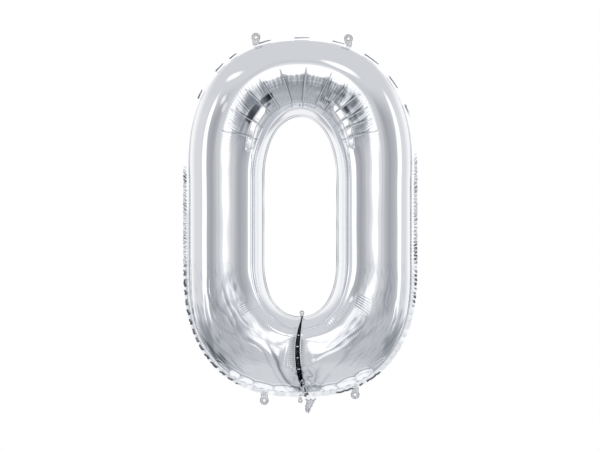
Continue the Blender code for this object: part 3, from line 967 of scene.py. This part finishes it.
def hole_rim(side, t):
    """The narrow rim inside the hole's seam, with shade painted along its cut edge."""
    share = array(((0.44, 0.72, 1.0),))
    along = ring_lengths(side, t, HOLE_EDGE)
    _, _, pane, lean = HOLE_FOLDS.look(along)
    y = 0.3 * MM * lean * bulge(pane) * share
    x, z = between(loop_points(HOLE_SEAM, side, t), loop_points(HOLE_EDGE, side, t), share)
    z = short_of_fold(TABS[-1], x, z)
    patchy = 0.75 + 0.25 * waves(along, 0, 80, 19, 3)
    # Painted shade along the cut edge.
    shade = 1 - 0.80 * ease(share, 0.45, 0.80) * patchy
    return stack((x, y * np.ones_like(x), z), -1), shade * np.ones_like(x)


def front_panel():
    side, t = even_stations(ROWS)
    turn = pi * linspace(0, 1, DOME_COLUMNS)[None, :]
    middle, shade = dome(side, t, turn)
    outer, outer_shade = outer_rim(side, t)
    inner, inner_shade = hole_rim(side, t)
    ply = (0, -PLY_Y, 0)
    points = np.concatenate((outer + ply, middle, inner + ply), 1)
    return points, np.concatenate((outer_shade, shade, inner_shade), 1)


# ---- the web in the slit
PERFORATION_RADIUS = 1.2 * MM
PERFORATIONS = (0.310, 0.463, 0.616, 0.769)  # heights, as shares of the way between the two seams
PATCH_HALF = 2.4 * MM
WEB_STEPS = 6
CRUMPLE_HEIGHT = 58 * MM
CRUMPLE_HALF = 5.5 * MM
CRUMPLE_DEPTH = 24 * MM
ROUND_STEPS = 24


def slit_web(left, right):
    """The strip of sealed film between the lobes, from its left and right edges, with round holes."""
    along = run_length(np.linalg.norm(np.diff((left + right) / 2, axis=0), axis=1))
    low_z, high_z = (loop.low.centre - loop.low.reach for loop in (OUTER_SEAM, HOLE_SEAM))
    heights = [low_z + (high_z - low_z) * share for share in PERFORATIONS]
    centres = interp(heights, (left[:, 2] + right[:, 2]) / 2, along)

    def place(distance, across):
        a, b = (stack([interp(distance, along, k) for k in edge.T], -1) for edge in (left, right))
        spot = a + (b - a) * (across[..., None] + 1) / 2
        crumple = (1 - ease(distance, 45 * MM, 70 * MM)) * (1 - across**2)
        spot[..., 1] -= 0.9 * MM * crumple * abs(waves(distance, across * 3 * MM, 7, 61, 5))
        return spot

    grids = []
    edges = [0.0]
    for centre in centres:
        edges += [centre - PATCH_HALF, centre + PATCH_HALF]
    edges.append(along[-1])
    for start, stop in zip(edges[::2], edges[1::2]):
        rows = linspace(start, stop, max(int((stop - start) / (1.2 * MM)), 2))
        distance, across = np.meshgrid(rows, linspace(-1, 1, WEB_STEPS), indexing="ij")
        grids.append(place(distance, across))
    for centre in centres:
        ends = [place(array(centre), array(end)) for end in (1.0, -1.0)]
        half = np.linalg.norm(ends[0] - ends[1]) / 2
        turn = linspace(0, 2 * pi, ROUND_STEPS + 1)[:, None]
        step = linspace(0, 1, 4)[None, :]
        square = maximum(abs(cos(turn)), abs(sin(turn)))
        radius = min(PERFORATION_RADIUS, 0.8 * half)
        distance = centre + cos(turn) * (radius * (1 - step) + PATCH_HALF / square * step)
        across = sin(turn) * (radius / half * (1 - step) + step / square)
        grids.append(place(distance, across))
    return grids


def slit_crumple(name, seed):
    """Gathered film that sticks out between the lobes at the slit's lower end."""
    up = linspace(0, 1, 70)[:, None]
    across = linspace(-1, 1, 22)[None, :]
    height = OUTER_SEAM.low.centre - OUTER_SEAM.low.reach + CRUMPLE_HEIGHT * (up - 0.12)
    half = CRUMPLE_HALF * (1.0 - 0.55 * up) * (1 + 0.25 * waves(height, 0, 12, seed, 4))
    centre = SLIT_LOW_X - 0.12 * CRUMPLE_HEIGHT * up
    x = centre + half * across + 1.2 * MM * waves(height, across * 4 * MM, 10, seed + 1, 5)
    fold = abs(waves(height, across * 5 * MM, 11, seed + 2, 6))
    y = -2 * MM - CRUMPLE_DEPTH * sin(pi * clip(up, 0.05, 0.95)) - 2.6 * MM * fold
    # Painted shade: some facets are painted dark, the rest left bright.
    shade = where(waves(height, across * 4 * MM, 9, seed + 3, 6) > -0.3, 1.0, 0.12)
    return sheet(name, x, y, height, shade)


# ---- tabs
TAB_ROUND_STEPS = 96
TAB_RINGS = 12


def add_tab(tab, seed):
    """A small loop of fused, crinkled film round a hole, standing on the rim's edge."""
    body = body_of(tab.node)
    joint = joint_of(body)
    root_x, _, root_z = joint["pos_m"]
    slope = joint["axis"][2] / joint["axis"][0]
    turn = linspace(0, 2 * pi, TAB_ROUND_STEPS + 1)[:, None]
    side_way, foot_way = sin(turn), cos(turn)  # turn 0 points at the foot
    towards_foot = maximum(foot_way + tab.up * slope * side_way, 1e-6)
    neck = np.minimum(tab.neck / 2 / maximum(abs(side_way), 1e-6), tab.drop / towards_foot)
    outline = where(foot_way > 0, maximum(neck, tab.head), tab.head)
    share = linspace(0, 1, TAB_RINGS)[None, :]
    radius = tab.hole + (outline - tab.hole) * share
    x = root_x + radius * side_way
    z = root_z + tab.up * (tab.drop - radius * foot_way)
    loose = clip((tab.drop - radius * foot_way) / tab.drop, 0, 1)
    crinkle = waves(x, z, 5.5, seed, 7) * 0.45 * MM + waves(x, z, 2.6, seed + 1, 6) * 0.12 * MM
    y = loose * crinkle * tab.head / (10.5 * MM)
    # Painted shade: darker along the outline and round the hole, with random mottle.
    edge = exp(-((outline - radius) / (0.9 * MM))) + 0.8 * exp(-((radius - tab.hole) / (0.7 * MM)))
    mottle = waves(x, z, 4, seed + 2, 6)
    shade = clip(0.80 + 0.16 * mottle - 0.62 * edge, 0.10, 1)
    mesh = sheet(tab.node + "_film", x, y, z, shade)
    piece = add_piece(mesh, TAB_FILM, body, tab.node)
    thickness = piece.modifiers.new("film", "SOLIDIFY")
    thickness.thickness = 0.3 * MM
    thickness.offset = 0


# ---- the tail and the valve
TAIL_X = 24 * MM
TAIL_TIP_X = 17 * MM
TAIL_ROWS = 70
TAIL_COLUMNS = 60


def gathered_strip(name, front, low, high, half_widths, depth, seed):
    """A strip of film gathered towards its tip: low and high are heights, half_widths from tip to root."""
    up = linspace(0, 1, TAIL_ROWS)[:, None]
    across = linspace(-1, 1, TAIL_COLUMNS)[None, :]
    ragged = 0.16 * waves(across * 9 * MM, 0, 7, seed, 5)
    height = low + (high - low) * (up + ragged * (1 - up) ** 2)
    half = interp(up, linspace(0, 1, len(half_widths)), half_widths)
    wavy = np.sign(across) * waves(height, across * 2 * MM, 9, seed + 5, 4)
    half = half * (1 + 0.16 * wavy * (1 - up))
    centre = TAIL_TIP_X + (TAIL_X - TAIL_TIP_X) * ease(up, 0.0, 0.8)
    bent = waves(height, across * 9 * MM, 8, seed + 1, 5) * (1 - up * up)
    x = centre + half * across + 0.8 * MM * bent
    facets = abs(waves(height, across * 11 * MM, 9, seed + 3, 5))
    pleats = abs(sin(pi * (across * 2.5 + 0.5 * waves(height, 0, 16, seed + 2, 3))))
    lift = depth * (0.4 * pleats + 0.6 * facets) * ease(1 - up, 0.0, 0.25)
    y = (0.5 * MM + lift) * (-1 if front else 1)
    # Painted shade: darker along the edges, in the valleys between facets and in the pleats.
    edge = exp(-(1 - abs(across)) * half / (0.6 * MM)) + exp(-up * (high - low) / (0.6 * MM))
    valley = exp(-facets / 0.16)
    shade = clip(1.0 - 0.55 * valley - 0.60 * edge - 0.35 * (1 - pleats) ** 4, 0.10, 1)
    return sheet(name, x, y, height, shade)


# Half widths of a ply of the tail and of a lip of the valve, from tip to root
PLY_WIDTHS = array((4, 7, 8, 10, 14.5)) * MM
LIP_WIDTHS = array((3, 3.5, 4, 6, 7)) * MM


def add_tail():
    for place, ply_seed, lip_seed in (("front", 71, 91), ("back", 81, 95)):
        for node, widths, depth, seed, finish, slot in (
            (f"tail_{place}_ply", PLY_WIDTHS, 2.4 * MM, ply_seed, FOIL, "silver_foil"),
            (f"valve_{place}_lip", LIP_WIDTHS, 0.2 * MM, lip_seed, VALVE_FILM, "clear_film"),
        ):
            low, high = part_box(node)
            mesh = gathered_strip(node + "_film", place == "front", low.z, high.z, widths, depth, seed)
            add_piece(mesh, finish, body_of(node), node)


# ---- putting the balloon together
FOIL = foil_material()
TAB_FILM = film_material("tab_film", 0.72)
VALVE_FILM = film_material("valve_film", 0.5)
FLAP_FILM = film_material("flap_film", 0.5, shaded=False)

points, shade = front_panel()
for face, way, node in (("front", 1, "front_foil_panel"), ("back", -1, "back_foil_panel")):
    order = slice(None, None, way)
    skin = mesh_from_grid(face + "_panel_skin", (points * (1, way, 1))[:, order])
    add_shade(skin, shade[:, order])
    add_piece(skin, FOIL, "foil_body", node)
    web = [(grid * (1, way, 1))[:, order] for grid in slit_web(points[0], points[-1])]
    # The web is painted near black with shade.
    mesh = join_grids(face + "_slit_web", web, [WEB_SHADE] * len(web))
    add_piece(mesh, FOIL, "foil_body", node)
add_piece(slit_crumple("slit_crumple", 121), FOIL, "foil_body")
for number, tab in enumerate(TABS):
    add_tab(tab, 100 + 10 * number)
add_tail()
for node in ("valve_front_flap", "valve_back_flap"):
    materials = frame["nodes"][node].data.materials
    materials.clear()
    materials.append(FLAP_FILM)


# ---- studio
def grey(level):
    """The linear value of a display grey between 0 and 255, slightly cool below white."""
    share = level / 255
    linear = share / 12.92 if share < 0.04 else ((share + 0.055) / 1.055) ** 2.4
    cool = 1 + 0.10 * max(1 - linear, 0)
    return (linear * (2 - cool) ** 0.4, linear, linear * cool)


# A studio that is the same on both sides. Each wall level is (degrees away from the camera's side, grey):
# pale behind the camera, a grey flat to each side of it, pale side walls and a white backdrop
WALLS = ((0, 215), (20, 205), (45, 165), (65, 185), (85, 220), (110, 220), (130, 250), (180, 250))
# The same near the floor, where the walls are duller
HORIZON = ((0, 205), (65, 190), (135, 190), (160, 235), (180, 235))
HORIZON_FROM = (-14, -28)
CEILING_GREY = 212
CEILING_FROM = (14, 36)
FLOOR_GREY = 213
FLOOR_FROM = (-46, -60)
WHITE = 268
# Lamps and cards, in the order they are drawn. Sizes are half sizes, and angles are in degrees
Card = namedtuple("Card", "azimuth elevation width height tilt grey edge")
CARDS = (
    Card(0, 18, 34, 33, 0, 206, 0.25),
    Card(0, 18, 24, 25, 0, 226, 0.15),
    Card(0, 18, 20, 20, 0, WHITE, 0.16),
    Card(0, -16, 17, 12, 0, WHITE, 0.5),
    Card(180, -46, 40, 18, 0, 246, 0.5),
    Card(-180, -46, 40, 18, 0, 246, 0.5),
    Card(-70, 2, 8.5, 29, 3, WHITE, 0.35),
    Card(83, 2, 7.0, 31, -4, WHITE, 0.35),
    Card(-68, 46, 14, 3.6, 4, WHITE, 0.9),
    Card(28, 47, 15, 6.5, -28, WHITE, 0.5),
    Card(-48, 25, 5.5, 2.8, -15, 245, 0.5),
    Card(-36, 18, 4.5, 2.2, -20, 225, 0.5),
)


def wall_ramp(tree, share, levels):
    return ramp_node(tree, share, [(degrees_away / 180, grey(level)) for degrees_away, level in levels])


def card_cover(tree, card, azimuth, elevation):
    """1 inside the card's ellipse, 0 outside, with a soft edge."""
    right = maths(tree, "SUBTRACT", azimuth, card.azimuth)
    up = maths(tree, "SUBTRACT", elevation, card.elevation)
    c, s = cos(radians(card.tilt)), sin(radians(card.tilt))
    squared = 0.0
    for a, a_share, b, b_share in ((right, c / card.width, up, s / card.width),
                                   (up, c / card.height, right, -s / card.height)):
        part = maths(tree, "ADD", maths(tree, "MULTIPLY", a, a_share), maths(tree, "MULTIPLY", b, b_share))
        squared = maths(tree, "MULTIPLY_ADD", part, part, squared)
    reach = maths(tree, "SQRT", squared)
    return range_node(tree, reach, 1 + card.edge / 2, 1 - card.edge / 2)


def studio_world():
    """Walls, ceiling, floor and cards drawn by direction, with plain white for the camera itself."""
    world = bpy.data.worlds.new("studio")
    bpy.context.scene.world = world
    world.use_nodes = True
    tree = world.node_tree
    tree.nodes.clear()
    way = add_node(tree, "TexCoord", {}, "Generated")
    x, y, z = add_node(tree, "SeparateXYZ", {0: way}).node.outputs
    azimuth = maths(tree, "ARCTAN2", x, maths(tree, "MULTIPLY", y, -1))
    azimuth = maths(tree, "MULTIPLY", azimuth, 180 / pi)
    elevation = maths(tree, "MULTIPLY", maths(tree, "ARCSINE", z), 180 / pi)
    share = maths(tree, "MULTIPLY", maths(tree, "ABSOLUTE", azimuth), 1 / 180)
    colour = wall_ramp(tree, share, WALLS)
    for (start, stop), level in (
        (CEILING_FROM, grey(CEILING_GREY)),
        (HORIZON_FROM, wall_ramp(tree, share, HORIZON)),
        (FLOOR_FROM, grey(FLOOR_GREY)),
    ):
        colour = mix_colour(tree, range_node(tree, elevation, start, stop), colour, level)
    for card in CARDS:
        colour = mix_colour(tree, card_cover(tree, card, azimuth, elevation), colour, grey(card.grey))
    shading = add_node(tree, "Background", {0: colour})
    white = add_node(tree, "Background", {0: (1, 1, 1)})
    seen = add_node(tree, "LightPath", {}, "Is Camera Ray")
    picked = add_node(tree, "MixShader", {0: seen, 1: shading, 2: white})
    feed(tree, tree.nodes.new("ShaderNodeOutputWorld"), {0: picked})


FLOOR_RADIUS = 1.5
FLOOR_DROP = 0.25
FLOOR_RINGS, FLOOR_STEPS = 24, 96


def add_camera():
    """Straight on, through a long lens, level with the middle of the balloon."""
    distance = 6.0
    view_width = 2.559 * RING_WIDTH
    data = bpy.data.cameras.new("camera")
    data.sensor_width = 36
    data.lens = data.sensor_width * distance / view_width
    camera = add_object("camera", data)
    camera.location = (-0.0007, -distance, RIM_LOW_Z + 0.478 * RING_HEIGHT)
    camera.rotation_euler = (pi / 2, 0, 0)
    bpy.context.scene.camera = camera


def add_floor():
    """A pale floor below the balloon that fades into the white backdrop and stays out of the foil."""
    radius = linspace(0.1 * MM, FLOOR_RADIUS, FLOOR_RINGS)[:, None]
    turn = linspace(0, 2 * pi, FLOOR_STEPS + 1)[None, :]
    x, y = radius * cos(turn), radius * sin(turn)
    z = np.full(x.shape, RIM_LOW_Z - FLOOR_DROP)
    floor = add_object("floor", mesh_from_grid("floor", stack((x, y, z), -1)))
    made, tree, shader = new_material("floor")
    place = add_node(tree, "TexCoord", {}, "Object")
    flat = add_node(tree, "VectorMath", {0: place, 1: (1, 1, 0)}, operation="MULTIPLY")
    away = add_node(tree, "VectorMath", {0: flat}, "Value", operation="LENGTH")
    feed(tree, shader, {"Base Color": (0.92, 0.92, 0.93), "Roughness": 0.8})
    fade = range_node(tree, away, 0.15 * FLOOR_RADIUS, 0.95 * FLOOR_RADIUS)
    glow = add_node(tree, "Emission", {})
    mixed = add_node(tree, "MixShader", {0: fade, 1: shader.outputs[0], 2: glow})
    feed(tree, tree.nodes["Material Output"], {"Surface": mixed})
    floor.data.materials.append(made)
    floor.visible_glossy = False


studio_world()
add_floor()
add_camera()
bpy.context.scene.view_settings.view_transform = "Standard"
